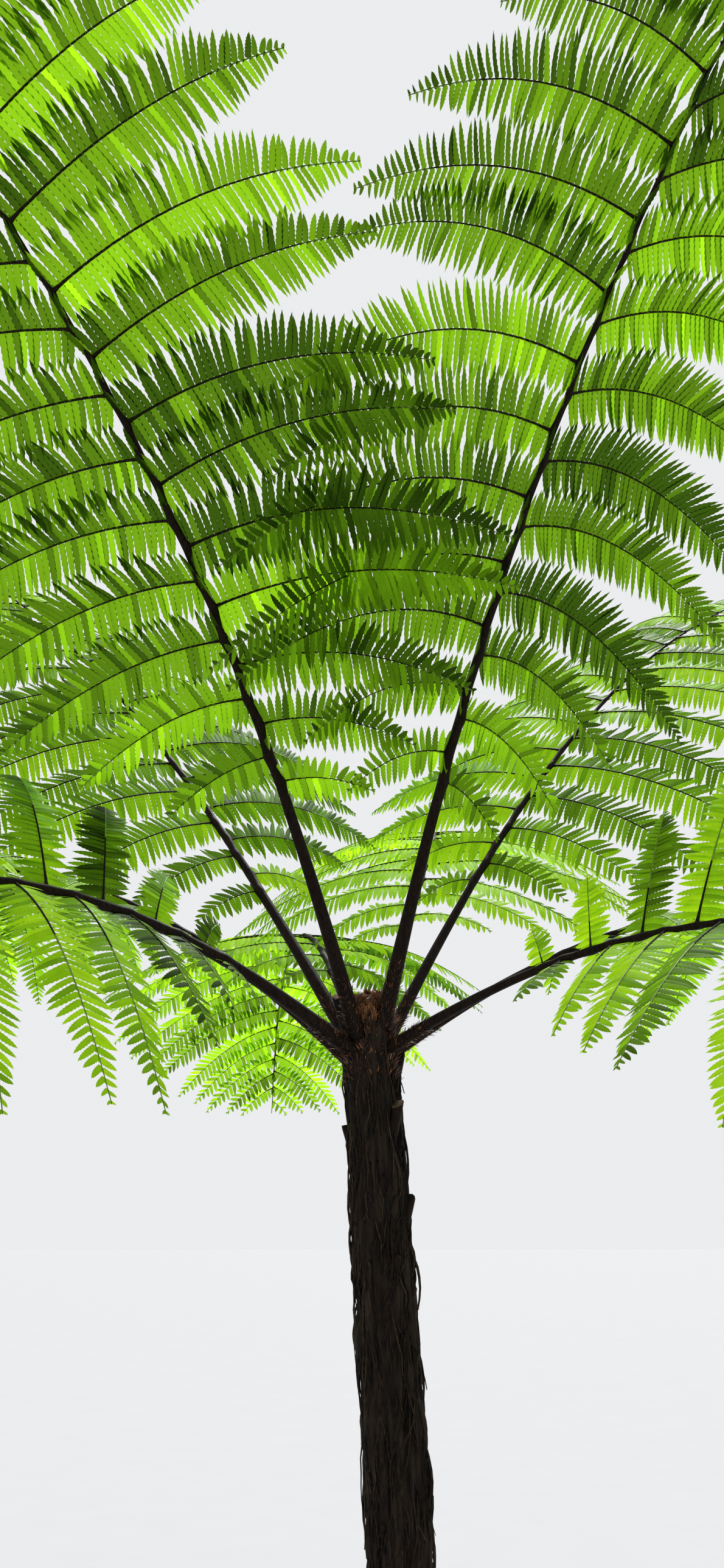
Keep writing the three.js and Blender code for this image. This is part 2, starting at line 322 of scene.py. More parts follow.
def grown(name, tree, inputs, points, forward, outward, sizes, tones, kinds):
    """A plain mesh of what the tree makes of points, each with its own turn and size."""
    outward = unit(outward - np.sum(outward * forward, -1, keepdims=True) * forward)
    frames = np.stack([forward, np.cross(outward, forward), outward], -1)
    turns = np.array([tuple(Matrix(axes.tolist()).to_euler()) for axes in frames])
    mesh = bpy.data.meshes.new(f"{name}_points")
    mesh.from_pydata(points.tolist(), [], [])
    for key, values in (("turn", turns), ("size", sizes)):
        mesh.attributes.new(key, "FLOAT_VECTOR", "POINT").data.foreach_set("vector", values.ravel())
    for key, values in (("tone", tones), ("kind", kinds)):
        whole = np.asarray(values, np.int32)
        mesh.attributes.new(key, "INT", "POINT").data.foreach_set("value", whole)
    cloud = bpy.data.objects.new(f"{name}_cloud", mesh)
    bpy.context.scene.collection.objects.link(cloud)
    modifier = cloud.modifiers.new("grow", "NODES")
    modifier.node_group = tree
    for identifier, value in inputs.items():
        modifier[identifier] = value
    bpy.context.view_layer.update()
    depsgraph = bpy.context.evaluated_depsgraph_get()
    solid = bpy.data.meshes.new_from_object(cloud.evaluated_get(depsgraph))
    solid.name = name
    cloud.modifiers.remove(modifier)
    bpy.data.objects.remove(cloud)
    for key in ("turn", "size", "tone", "kind"):
        if key in solid.attributes:
            solid.attributes.remove(solid.attributes[key])
    piece = bpy.data.objects.new(name, solid)
    bpy.context.scene.collection.objects.link(piece)
    return piece


def rootlet_shape(name, seed):
    """One strand, 1 long and 1 thick, that bows outwards and wanders a little sideways."""
    draw = np.random.default_rng(seed)
    x = np.linspace(0.0, 1.0, ROOTLET_STEPS)
    wander = np.cumsum(draw.normal(0.0, ROOTLET_WANDER, ROOTLET_STEPS))
    bow = ROOTLET_BOW * np.sin(np.pi * x) - ROOTLET_SUNK
    line = np.stack([x, wander, bow], -1)
    turn = np.linspace(0.0, 2.0 * np.pi, ROOTLET_SIDES, endpoint=False)
    taper = 1.0 - ROOTLET_TAPER * x
    ring = np.stack([np.zeros(ROOTLET_SIDES), np.cos(turn), np.sin(turn)], -1)
    points = (line[:, None] + ring[None] * taper[:, None, None]).reshape(-1, 3)
    faces = []
    for step in range(ROOTLET_STEPS - 1):
        for side in range(ROOTLET_SIDES):
            a = step * ROOTLET_SIDES + side
            b = step * ROOTLET_SIDES + (side + 1) % ROOTLET_SIDES
            faces.append((a, b, b + ROOTLET_SIDES, a + ROOTLET_SIDES))
    faces.append(tuple(range(ROOTLET_SIDES))[::-1])
    faces.append(tuple((ROOTLET_STEPS - 1) * ROOTLET_SIDES + k for k in range(ROOTLET_SIDES)))
    return mesh_object(name, points, faces, [])


rootlet_dark = mottled(
    "rootlet_dark", (0.003, 0.002, 0.0015), (0.018, 0.011, 0.007), 140.0, 0.8, 0.3,
)
rootlet_brown = mottled(
    "rootlet_brown", (0.014, 0.008, 0.005), (0.060, 0.036, 0.021), 140.0, 0.8, 0.3,
)
rootlet_kinds = [rootlet_shape(f"rootlet_{k + 1}", 40 + k) for k in range(3)]
rootlet_labels = ["Rootlet 1", "Rootlet 2", "Rootlet 3"]
tree, named = scatter_tree("rootlets", rootlet_labels, [rootlet_dark, rootlet_brown])
inputs = {named["Size"]: 1.0}
for label, kind in zip(rootlet_labels, rootlet_kinds):
    inputs[named[label]] = kind
draw = np.random.default_rng(21)
height = CROWN_HEIGHT * (1.0 - draw.uniform(0.0, 1.0, ROOTLET_COUNT))
height = np.clip(height, ROOTLET_LOWEST, CROWN_HEIGHT - ROOTLET_BELOW_CROWN)
angle = draw.uniform(0.0, 2.0 * np.pi, ROOTLET_COUNT)
length = draw.uniform(*ROOTLET_LENGTHS, ROOTLET_COUNT)
length = np.minimum(length, height - ROOTLET_OFF_GROUND)
tilt = draw.normal(0.0, ROOTLET_TILT, ROOTLET_COUNT)
thick = draw.uniform(*ROOTLET_RADII, ROOTLET_COUNT)
outward = np.stack([np.cos(angle), np.sin(angle), np.zeros(ROOTLET_COUNT)], -1)
around = np.stack([-np.sin(angle), np.cos(angle), np.zeros(ROOTLET_COUNT)], -1)
lower = np.clip(height - length * np.cos(tilt), 0.0, CROWN_HEIGHT)
top_point = on_trunk(height, angle, bark_radius(height, angle))
turned = angle + length * np.sin(tilt) / TRUNK_RADIUS_FOOT
low_point = on_trunk(lower, turned, bark_radius(lower, turned))
forward = unit(low_point - top_point)
apart = np.linalg.norm(low_point - top_point, axis=-1)
broad = thick * draw.uniform(*ROOTLET_FLATNESS, ROOTLET_COUNT)
sizes = np.stack([apart, thick, broad], -1)
tones = (draw.uniform(0.0, 1.0, ROOTLET_COUNT) > ROOTLET_DARK_SHARE).astype(np.int32)
kinds = draw.integers(0, 3, ROOTLET_COUNT)
piece = grown("trunk_rootlets", tree, inputs, top_point, forward, outward, sizes, tones, kinds)
hand_over(piece, [])
for kind in rootlet_kinds:
    bpy.data.objects.remove(kind)

# Old stalk bases
# Where earlier fronds have dropped, their stalks leave short dark stubs that point up and
# out of the trunk just below the crown, each with a ragged brown break.
OLD_BASES = 22
OLD_BASE_TURN = math.radians(137.5)
OLD_BASE_LOWEST = 1.30
OLD_BASE_HIGHEST = 1.93
OLD_BASE_SIDES = 12
OLD_BASE_STEPS = 6
OLD_BASE_RISES = (62.0, 76.0)
OLD_BASE_INSET = 0.030
OLD_BASE_LENGTH = 0.035
OLD_BASE_EXTRAS = (0.012, 0.022)
OLD_BASE_UPPER_EXTRA = 0.03
OLD_BASE_EXTRA_SHARES = (0.2, 1.0)
OLD_BASE_UPTURN = 0.010
OLD_BASE_RADII = (0.0095, 0.0125)
OLD_BASE_FOOT_RADIUS = 1.25
OLD_BASE_NARROWING = 0.35
OLD_BASE_SLANT = 0.8
OLD_BASE_FIRST_SEED = 700
BREAK_RAGGEDNESS = 0.0012
BREAK_HOLLOW = 0.0025

stalk = mottled(
    "stalk", (0.0040, 0.0023, 0.0016), (0.0165, 0.0092, 0.0058), 170.0, 0.6, 0.35, GRAIN_STRETCH,
)
stalk.node_tree.nodes["Principled BSDF"].inputs["Specular IOR Level"].default_value = 0.08
broken_end = mottled("broken_end", (0.030, 0.017, 0.009), (0.120, 0.075, 0.042), 260.0, 0.9, 0.5)


def heading(azimuth, elevation):
    """Unit vector that points along an azimuth and an elevation, in degrees."""
    around = np.radians(azimuth)
    upward = np.radians(elevation)
    flat = np.cos(upward)
    return np.stack([np.sin(around) * flat, -np.cos(around) * flat, np.sin(upward)], -1)


def joined(parts):
    """One list of points, faces and material numbers from many pieces."""
    points, faces, kinds, offset = [], [], [], 0
    for part_kinds, (part_points, part_faces) in parts:
        points.append(part_points)
        faces += [tuple(i + offset for i in face) for face in part_faces]
        kinds += part_kinds
        offset += len(part_points)
    return np.vstack(points), faces, kinds


def broken_rod(line, radii, sides, slant, seed):
    """A rod whose far end is a slanting, ragged break, and its material numbers."""
    draw = np.random.default_rng(seed)
    points, faces = tapering_rod(line, radii, sides)
    tangent = unit(line[-1] - line[-2])
    edge = slice(len(points) - 2 - sides, len(points) - 2)
    offset = points[edge] - line[-1]
    side = unit(np.cross(tangent, UP))
    shift = slant * (offset @ side) + draw.normal(0.0, BREAK_RAGGEDNESS, sides)
    points[edge] = points[edge] + shift[:, None] * tangent
    points[-1] = points[-1] - BREAK_HOLLOW * tangent
    kinds = [0] * (len(faces) - sides) + [1] * sides
    return kinds, (points, faces)


draw = np.random.default_rng(31)
parts = []
for number in range(OLD_BASES):
    share = number / (OLD_BASES - 1)
    level = OLD_BASE_LOWEST + (OLD_BASE_HIGHEST - OLD_BASE_LOWEST) * share
    azimuth = math.degrees(number * OLD_BASE_TURN)
    out = heading(azimuth, draw.uniform(*OLD_BASE_RISES))
    begin = trunk_axis(level) + OLD_BASE_INSET * heading(azimuth, 0.0)
    long = OLD_BASE_LENGTH + draw.uniform(*OLD_BASE_EXTRAS)
    long = long + OLD_BASE_UPPER_EXTRA * share * draw.uniform(*OLD_BASE_EXTRA_SHARES)
    steps = np.linspace(0.0, 1.0, OLD_BASE_STEPS)
    upturn = (OLD_BASE_UPTURN * steps ** 2)[:, None] * UP
    line = begin + (steps * long)[:, None] * out + upturn
    thick = draw.uniform(*OLD_BASE_RADII)
    radii = thick * (OLD_BASE_FOOT_RADIUS - OLD_BASE_NARROWING * steps)
    slant = draw.uniform(-OLD_BASE_SLANT, OLD_BASE_SLANT)
    seed = OLD_BASE_FIRST_SEED + number
    parts.append(broken_rod(line, radii, OLD_BASE_SIDES, slant, seed))
points, faces, kinds = joined(parts)
piece = mesh_object("old_stalk_bases", points, faces, [stalk, broken_end], kinds)
hand_over(piece, [])

# Croziers
# Three young fronds are still rolled up as fists in the heart of the crown. They stand
# between the stalks, wrapped in rust-brown scales. A mat of the same scales covers the head
# of the trunk under them, and darker ones a short way down the trunk.
CROZIER_AZIMUTHS = (-50, 55, 178)
CROZIER_STEMS = (0.017, 0.023, 0.028)
CROZIER_OFFSET = 0.028
CROZIER_SINK = 0.020
CROZIER_COIL = 0.008
CROZIER_TURN = math.radians(200.0)
CROZIER_TIGHTENING = 0.2
CROZIER_RADII = (0.0075, 0.0050)
CROZIER_STEPS = 26
CROZIER_SIDES = 14
CROZIER_SCALES = 620
CROZIER_COAT_SHARES = (0.2, 0.97)
MAT_SCALES = 1500
MAT_SHARES = (0.0, 0.98)
MAT_SCALE_GROWTH = 1.7
COLLAR_SCALES = 1100
COLLAR_SHARES = (0.0, 1.0)
COLLAR_DEPTH = 0.11
SCALE_LENGTHS = (0.006, 0.015)
SCALE_WIDTHS = (0.12, 0.24)
SCALE_LIFTS = (0.12, 0.65)
SCALE_SWEEP = 0.28
SCALE_SUNK = 0.96
SCALE_STATIONS = ((0.0, 0.30), (0.30, 0.50), (0.65, 0.30), (1.0, 0.0))

crozier_skin = mottled(
    "crozier_skin", (0.020, 0.008, 0.004), (0.090, 0.036, 0.014), 240.0, 0.75, 0.5,
)
scale_dark = mottled("scale_dark", (0.022, 0.009, 0.005), (0.060, 0.026, 0.013), 300.0, 0.6, 0.2)
scale_rust = mottled("scale_rust", (0.120, 0.044, 0.016), (0.260, 0.105, 0.040), 300.0, 0.55, 0.2)
scale_straw = mottled("scale_straw", (0.220, 0.110, 0.045), (0.420, 0.240, 0.110), 300.0, 0.5, 0.2)


def scale_shape(name, curl):
    """One papery scale, 1 long and 1 wide, drawn out to a point and curling off the stalk."""
    points = []
    for x, half in SCALE_STATIONS[:-1]:
        points += [(x, half, curl * x * x), (x, -half, curl * x * x)]
    points.append((1.0, 0.0, curl))
    faces = [(1, 3, 2, 0), (3, 5, 4, 2), (5, 6, 4)]
    return mesh_object(name, points, faces, [])


def coat(line, radius_at, count, seed, shares, reference):
    """Places for scales over a rod: points, the way each lies, its outward side, its size."""
    draw = np.random.default_rng(seed)
    share = draw.uniform(*shares, count)
    places = np.linspace(0.0, 1.0, len(line))
    slopes = unit(np.gradient(line, axis=0))
    middle = np.stack([np.interp(share, places, line[:, k]) for k in range(3)], -1)
    tangent = unit(np.stack([np.interp(share, places, slopes[:, k]) for k in range(3)], -1))
    across = unit(np.cross(np.broadcast_to(reference, tangent.shape), tangent))
    upward = np.cross(tangent, across)
    turn = draw.uniform(0.0, 2.0 * np.pi, count)
    outward = np.cos(turn)[:, None] * across + np.sin(turn)[:, None] * upward
    aside = np.cross(tangent, outward)
    lie = tangent + outward * draw.uniform(*SCALE_LIFTS, count)[:, None]
    lie = lie + aside * draw.normal(0.0, SCALE_SWEEP, count)[:, None]
    long = draw.uniform(*SCALE_LENGTHS, count)
    sizes = np.stack([long, long * draw.uniform(*SCALE_WIDTHS, count), long], -1)
    points = middle + outward * (SCALE_SUNK * radius_at(share))[:, None]
    return points, unit(lie), outward, sizes


scale_labels = ["Flat scale", "Curled scale"]
scale_kinds = [scale_shape("scale_flat", 0.10), scale_shape("scale_curled", 0.35)]
scale_tree, named = scatter_tree("scales", scale_labels, [scale_dark, scale_rust, scale_straw])
scale_inputs = {named["Size"]: 1.0}
for label, kind in zip(scale_labels, scale_kinds):
    scale_inputs[named[label]] = kind


def scale_coat(name, coats, seed, tone_mix):
    """One mesh of all the scales of several coats, in tones drawn from the mix."""
    draw = np.random.default_rng(seed)
    points, lie, outward, sizes = (np.vstack(values) for values in zip(*coats))
    tones = draw.choice(tone_mix, len(points))
    kinds = draw.integers(0, 2, len(points))
    piece = grown(name, scale_tree, scale_inputs, points, lie, outward, sizes, tones, kinds)
    hand_over(piece, [])


def fist_radius(share):
    """Radius of a rolled-up frond, from its foot to the end inside the coil."""
    return np.interp(share, (0.0, 1.0), CROZIER_RADII)


coats = []
for number, (azimuth, stem) in enumerate(zip(CROZIER_AZIMUTHS, CROZIER_STEMS)):
    out = heading(azimuth, 0.0)
    begin = trunk_axis(CROWN_HEIGHT) + out * CROZIER_OFFSET + UP * (HEAD_HEIGHT - CROZIER_SINK)
    rise = np.linspace(0.0, CROZIER_SINK + stem, 8)[:-1]
    stem_line = begin + rise[:, None] * UP
    top = begin + (CROZIER_SINK + stem) * UP
    turned = np.linspace(0.0, 1.0, CROZIER_STEPS)
    coil = CROZIER_COIL * (1.0 - CROZIER_TIGHTENING * turned)
    inward = (coil * np.cos(CROZIER_TURN * turned) - CROZIER_COIL)[:, None] * out
    upward = (coil * np.sin(CROZIER_TURN * turned))[:, None] * UP
    line = np.vstack([stem_line, top + inward + upward])
    radii = fist_radius(np.linspace(0.0, 1.0, len(line)))
    beside = np.cross(out, UP)
    points, faces = tapering_rod(line, radii, CROZIER_SIDES, beside)
    fist = mesh_object(f"crozier_fist_{number + 1}", points, faces, [crozier_skin])
    hand_over(fist, [f"crozier_{number + 1}"])
    coats.append(coat(
        line, fist_radius, CROZIER_SCALES, 50 + number, CROZIER_COAT_SHARES, beside,
    ))


def dome_radius(share):
    """Radius of the trunk's domed head, from the crown's height up to the crest."""
    return TRUNK_RADIUS_TOP * np.sqrt(1.0 - share * share)


def neck_radius(share):
    """Radius of the trunk just below the crown."""
    return np.full(len(share), TRUNK_RADIUS_TOP)


front = heading(0.0, 0.0)
share = np.linspace(0.0, 1.0, 10)
line = trunk_axis(CROWN_HEIGHT) + (share * HEAD_HEIGHT)[:, None] * UP
*places, sizes = coat(line, dome_radius, MAT_SCALES, 54, MAT_SHARES, front)
coats.append((*places, MAT_SCALE_GROWTH * sizes))
scale_coat("crozier_scale_coat", coats, 60, [0, 1, 1, 1, 2])
line = trunk_axis(CROWN_HEIGHT - COLLAR_DEPTH * (1.0 - share))
*places, sizes = coat(line, neck_radius, COLLAR_SCALES, 55, COLLAR_SHARES, front)
scale_coat("collar_scales", [(*places, MAT_SCALE_GROWTH * sizes)], 62, [0, 0, 0, 1])

# Broken stalk
# One old stalk has snapped off a hand's breadth above the crown and stands as a bare stub
# with a slanting brown break.
STUMP_AZIMUTH = -76
STUMP_RISE = 72
STUMP_LENGTH = 0.080
STUMP_DROP = 0.020
STUMP_RADII = (0.0100, 0.0080)
STUMP_SIDES = 18
STUMP_STEPS = 12
STUMP_SLANT = 0.7
STIPE_ROOT_RADIUS = 0.040
begin = trunk_axis(CROWN_HEIGHT - STUMP_DROP) + STIPE_ROOT_RADIUS * heading(STUMP_AZIMUTH, 0.0)
share = np.linspace(0.0, 1.0, STUMP_STEPS)
line = begin + (share * STUMP_LENGTH)[:, None] * heading(STUMP_AZIMUTH, STUMP_RISE)
radii = np.interp(share, (0.0, 1.0), STUMP_RADII)
kinds, (points, faces) = broken_rod(line, radii, STUMP_SIDES, STUMP_SLANT, 33)
piece = mesh_object("broken_stalk", points, faces, [stalk, broken_end], kinds)
hand_over(piece, ["broken_stipe"])

# Fronds
# A frond is one leaf: a stalk that goes on as a rib, side ribs in two rows along it, and
# a row of toothed leaflets on each side of every side rib. All of them arch and sag.

# Angles are in degrees and lengths in metres. A stalk leaves the trunk at its azimuth and
# rise, drop below the crown's height, and loses bend and gains turn by its tip. Side ribs
# start at the share first, spacing apart. They stand at the angle base to the stalk near
# its foot and tip near its end, with skew and roll between the two rows, raised by lift.
# droop is their sag, black_and_shaded_share how far out they stay black, partly the stalk's own
# dark colour and partly painted shade, and tones the steps of painted shade and painted sunlight,
# from the shaded to the sunlit leaf tone, dealt out to them. girth and leaf size the stalk and the
# leaflets.
FRONDS = [
    dict(name="front_left", azimuth=-32, rise=60, bend=58, turn=0, length=2.3, drop=0.022,
         lift=6, roll=7, droop=0.8, base=90, tip=59, skew=10,
         first=0.218, spacing=0.111, tones=(0, 1, 1, 2), black_and_shaded_share=0.85, girth=1.08, leaf=1.0),
    dict(name="front_right", azimuth=38, rise=68.5, bend=53, turn=-15, length=2.3, drop=0.008,
         lift=11, roll=8, droop=1.2, base=90, tip=54, skew=-23,
         first=0.208, spacing=0.122, tones=(0, 1, 1, 2), black_and_shaded_share=0.85, girth=1.08, leaf=1.0),
    dict(name="back", azimuth=164, rise=42, bend=42, turn=18, length=2.15, drop=0.0,
         lift=6, roll=0, droop=0.9, base=90, tip=60, skew=0,
         first=0.2, spacing=0.120, tones=(4, 4, 4, 5), black_and_shaded_share=0.4, girth=0.9, leaf=0.95),
    dict(name="back_right", azimuth=128, rise=57, bend=33, turn=-4, length=2.2, drop=0.026,
         lift=4, roll=26, droop=0.9, base=90, tip=60, skew=0,
         first=0.2, spacing=0.118, tones=(2, 3, 4, 4), black_and_shaded_share=0.7, girth=0.88, leaf=1.0),
    dict(name="back_left", azimuth=-130, rise=54, bend=20, turn=4, length=2.2, drop=0.034,
         lift=4, roll=-26, droop=0.9, base=90, tip=60, skew=0,
         first=0.2, spacing=0.118, tones=(2, 2, 3, 4), black_and_shaded_share=0.7, girth=1.05, leaf=1.0),
    dict(name="low_right", azimuth=48, rise=20.5, bend=102, turn=6, length=1.9, drop=0.044,
         lift=24, roll=46, droop=0.45, base=98, tip=34, skew=-8,
         first=0.195, spacing=0.095, tones=(2, 4, 5, 5), black_and_shaded_share=0.45, girth=0.75, leaf=0.8),
    dict(name="low_left", azimuth=-50, rise=27.8, bend=110, turn=6, length=1.78, drop=0.050,
         lift=25, roll=-48, droop=0.85, base=106, tip=26, skew=0,
         first=0.185, spacing=0.102, tones=(1, 2, 3, 4), black_and_shaded_share=0.55, girth=1.05, leaf=0.8),
    dict(name="side_right", azimuth=95, rise=34, bend=110, turn=10, length=2.0, drop=0.049,
         lift=6, roll=0, droop=0.9, base=90, tip=60, skew=0,
         first=0.2, spacing=0.105, tones=(2, 3, 3, 4), black_and_shaded_share=0.55, girth=0.75, leaf=0.9),
    dict(name="side_left", azimuth=-95, rise=42, bend=118, turn=-12, length=2.0, drop=0.061,
         lift=6, roll=0, droop=0.9, base=90, tip=60, skew=0,
         first=0.2, spacing=0.105, tones=(2, 2, 3, 3), black_and_shaded_share=0.55, girth=0.85, leaf=0.9),
    dict(name="low_back", azimuth=-166, rise=40, bend=98, turn=-8, length=2.0, drop=0.062,
         lift=6, roll=0, droop=0.9, base=90, tip=60, skew=0,
         first=0.2, spacing=0.110, tones=(2, 3, 3, 4), black_and_shaded_share=0.55, girth=0.9, leaf=0.9),
]
FULL_LENGTH = 2.3
BEND_GROWTH = 1.5
PATH_STEPS = 160
BLADE_START = 0.17
BLADE_FULL_FROM = 0.4
BLADE_NARROWS_FROM = 0.60
BLADE_HALF_WIDTH = 0.6
BLADE_FIRST_SHARE = 0.22
BLADE_TIP_SHARE = 0.025
BLADE_TAPER = 2.0
STALK_PLACES = (0.0, 0.03, 0.10, 0.17, 0.35, 0.55, 0.72, 1.0)
STALK_RADII = (0.0165, 0.0140, 0.0112, 0.0096, 0.0070, 0.0049, 0.0032, 0.0010)
STALK_SIDES = 16
STALK_RINGS = 260
ZIGZAG = 0.0013
ZIGZAG_BEFORE_FIRST = 0.03
NODE_SWELLING = 0.0014
NODE_SWELLING_MOST = 1.2
NODE_LENGTH = 0.011
SMOOTH_RADIUS = 0.006
FOOT_SCALES = 260
FOOT_SCALE_SHARES = (0.004, 0.055)
RIBS_END = 0.975
RIBS_LAST_PLACE = 0.985
RIBS_OUT_OF_STEP = 0.45
RIBS_CLOSE_UP_FROM = 0.62
RIBS_CLOSE_UP_BY = 0.62
RIB_SIZES = (0.95, 1.03)
RIB_TILT = 2.5
RIB_SWEEP = 2.0
RIB_SAGS = (0.9, 1.12)
RIB_TWIST = 5.0


def frond_line(frond):
    """Points along the middle of a frond's stalk and rib."""
    start = trunk_axis(CROWN_HEIGHT - frond["drop"])
    start = start + STIPE_ROOT_RADIUS * heading(frond["azimuth"], 0.0)
    u = (np.arange(PATH_STEPS) + 0.5) / PATH_STEPS
    elevation = frond["rise"] - frond["bend"] * u ** BEND_GROWTH
    steps = heading(frond["azimuth"] + frond["turn"] * u, elevation) * frond["length"] / PATH_STEPS
    return np.vstack([start, start + np.cumsum(steps, 0)])


def along(line, u):
    """Point, direction, sideways direction and upward normal at shares u of the line."""
    places = np.linspace(0.0, 1.0, len(line))
    slopes = unit(np.gradient(line, axis=0))
    point = np.stack([np.interp(u, places, line[:, k]) for k in range(3)], -1)
    tangent = unit(np.stack([np.interp(u, places, slopes[:, k]) for k in range(3)], -1))
    lateral = unit(np.cross(UP, tangent))
    return point, tangent, lateral, np.cross(tangent, lateral)


def blade_half_width(u):
    """Length of the side ribs along the frond: short, then full, then a long point."""
    t = np.clip((u - BLADE_START) / (BLADE_FULL_FROM - BLADE_START), 0.0, 1.0)
    opening = BLADE_FIRST_SHARE + (1.0 - BLADE_FIRST_SHARE) * t * t * (3.0 - 2.0 * t)
    past = np.clip((u - BLADE_NARROWS_FROM) / (1.0 - BLADE_NARROWS_FROM), 0.0, 1.0)
    return BLADE_HALF_WIDTH * opening * np.maximum(1.0 - past ** BLADE_TAPER, BLADE_TIP_SHARE)


def side_ribs_of(frond, seed):
    """Where the side ribs leave a stalk, alternately left and right, each with its own habit."""
    draw = np.random.default_rng(seed)
    ribs = []
    u = frond["first"]
    while u < RIBS_END:
        for side in (1, -1):
            late = RIBS_OUT_OF_STEP * frond["spacing"] / frond["length"]
            place = u + (0.0 if side == 1 else late)
            if place < RIBS_LAST_PLACE:
                ribs.append(dict(
                    u=place,
                    side=side,
                    size=draw.uniform(*RIB_SIZES),
                    tilt=draw.normal(0.0, RIB_TILT),
                    sweep=draw.normal(0.0, RIB_SWEEP),
                    sag=draw.uniform(*RIB_SAGS),
                    twist=draw.normal(0.0, RIB_TWIST),
                    # Each side rib draws one step on its frond's scale from painted shade to
                    # painted sunlight.
                    tone=frond["tones"][draw.integers(0, 4)],
                ))
        past = max(0.0, u - RIBS_CLOSE_UP_FROM) / (1.0 - RIBS_CLOSE_UP_FROM)
        u += frond["spacing"] * (1.0 - RIBS_CLOSE_UP_BY * past) / frond["length"]
    return ribs


coats = []
for index, frond in enumerate(FRONDS):
    frond["line"] = frond_line(frond)
    frond["side_ribs"] = side_ribs_of(frond, 100 + index)
    share = np.linspace(0.0, 1.0, STALK_RINGS)
    point, tangent, lateral, normal = along(frond["line"], share)
    stalk_radii = frond["girth"] * np.array(STALK_RADII)
    taper = np.interp(share, STALK_PLACES, stalk_radii)
    nodes_u = np.array([rib["u"] for rib in frond["side_ribs"]])
    nodes_side = np.array([rib["side"] for rib in frond["side_ribs"]])
    straight_to = frond["first"] - ZIGZAG_BEFORE_FIRST
    sway = np.interp(share, [0.0, straight_to, *nodes_u], [0.0, 0.0, *nodes_side])
    stout = np.minimum(1.0, taper / SMOOTH_RADIUS)
    point = point + lateral * (ZIGZAG * sway * stout)[:, None]
    swell = np.zeros(STALK_RINGS)
    lean = np.zeros(STALK_RINGS)
    for place, side in zip(nodes_u, nodes_side):
        bump = np.exp(-((share - place) * frond["length"] / NODE_LENGTH) ** 2)
        swell = swell + bump
        lean = lean + bump * side
    strong = NODE_SWELLING * stout
    point = point + lateral * (strong * lean)[:, None]
    radii = taper + strong * np.clip(swell, 0.0, NODE_SWELLING_MOST)
    points, faces = tapering_rod(point, radii, STALK_SIDES)
    piece = mesh_object(f"{frond['name']}_stalk", points, faces, [stalk])
    hand_over(piece, [f"{frond['name']}_frond_stipe"])
    coats.append(coat(
        frond["line"], lambda s: np.interp(s, STALK_PLACES, stalk_radii), FOOT_SCALES,
        80 + index, FOOT_SCALE_SHARES, UP,
    ))
scale_coat("stalk_foot_scales", coats, 61, [0, 0, 0, 0, 1])
for kind in scale_kinds:
    bpy.data.objects.remove(kind)

# Side ribs
# Each side rib leaves the stalk nearly square to it from a small swelling, rises a little
# and then sags under its own leaflets. It turns green towards its tip. How far out it stays black
# is partly its own dark colour and partly painted shade.
RIB_STEPS = 16
RIB_FOOT_PLACES = (0.0, 0.012, 0.03)
RIB_FIRST_PLACE = 0.07
RIB_LAST_PLACE = 0.99
RIB_SIDES = 6
RIB_RADIUS = 0.0025
RIB_TIP_RADIUS = 0.0007
RIB_TAPER = 0.8
RIB_FOOT_SWELLING = 1.5
RIB_FOOT_LENGTH = 0.010

rib_green = mottled("rib_green", (0.07, 0.14, 0.012), (0.20, 0.32, 0.03), 120.0, 0.5, 0.2)


def rib_line(frond, rib, out):
    """Points along one side rib, from the stalk (0) to its tip (1), its normal and length."""
    u = np.array([rib["u"]])
    point, tangent, lateral, normal = (v[0] for v in along(frond["line"], u))
    reach = blade_half_width(u)[0] * frond["length"] / FULL_LENGTH * rib["size"]
    share = max(0.0, (rib["u"] - BLADE_START) / (1.0 - BLADE_START))
    last_angle = frond["tip"] + frond["skew"] * rib["side"]
    forward = math.radians(frond["base"] + (last_angle - frond["base"]) * share + rib["sweep"])
    lift = math.radians(frond["lift"] + frond["roll"] * rib["side"] + rib["tilt"])
    outward = math.cos(forward) * tangent
    outward = outward + math.sin(forward) * math.cos(lift) * rib["side"] * lateral
    outward = outward + math.sin(forward) * math.sin(lift) * normal
    sag = frond["droop"] * rib["sag"] * out ** 2 / 2.0
    line = point + reach * (out[:, None] * outward - sag[:, None] * UP)
    raised = math.cos(lift) * normal - math.sin(lift) * rib["side"] * lateral
    return line, raised, reach


further = np.linspace(RIB_FIRST_PLACE, RIB_LAST_PLACE, RIB_STEPS - len(RIB_FOOT_PLACES))
out = np.concatenate([RIB_FOOT_PLACES, further])
for frond in FRONDS:
    parts = []
    for rib in frond["side_ribs"]:
        line, normal, reach = rib_line(frond, rib, out)
        thick = RIB_RADIUS * math.sqrt(reach / BLADE_HALF_WIDTH)
        radii = thick + (RIB_TIP_RADIUS - thick) * out ** RIB_TAPER
        radii = radii + RIB_FOOT_SWELLING * thick * np.exp(-out * reach / RIB_FOOT_LENGTH)
        points, faces = tapering_rod(line, radii, RIB_SIDES, normal)
        # The black stretch of each rib is partly the stalk's own colour and partly painted shade,
        # longer on the fronds seen against the light.
        dark = int(frond["black_and_shaded_share"] * (RIB_STEPS - 1)) * RIB_SIDES
        green = len(faces) - dark - 2 * RIB_SIDES
        kinds = [0] * dark + [1] * green + [0] * RIB_SIDES + [1] * RIB_SIDES
        parts.append((kinds, (points, faces)))
    points, faces, kinds = joined(parts)
    piece = mesh_object(f"{frond['name']}_side_ribs", points, faces, [stalk, rib_green], kinds)
    hand_over(piece, [])

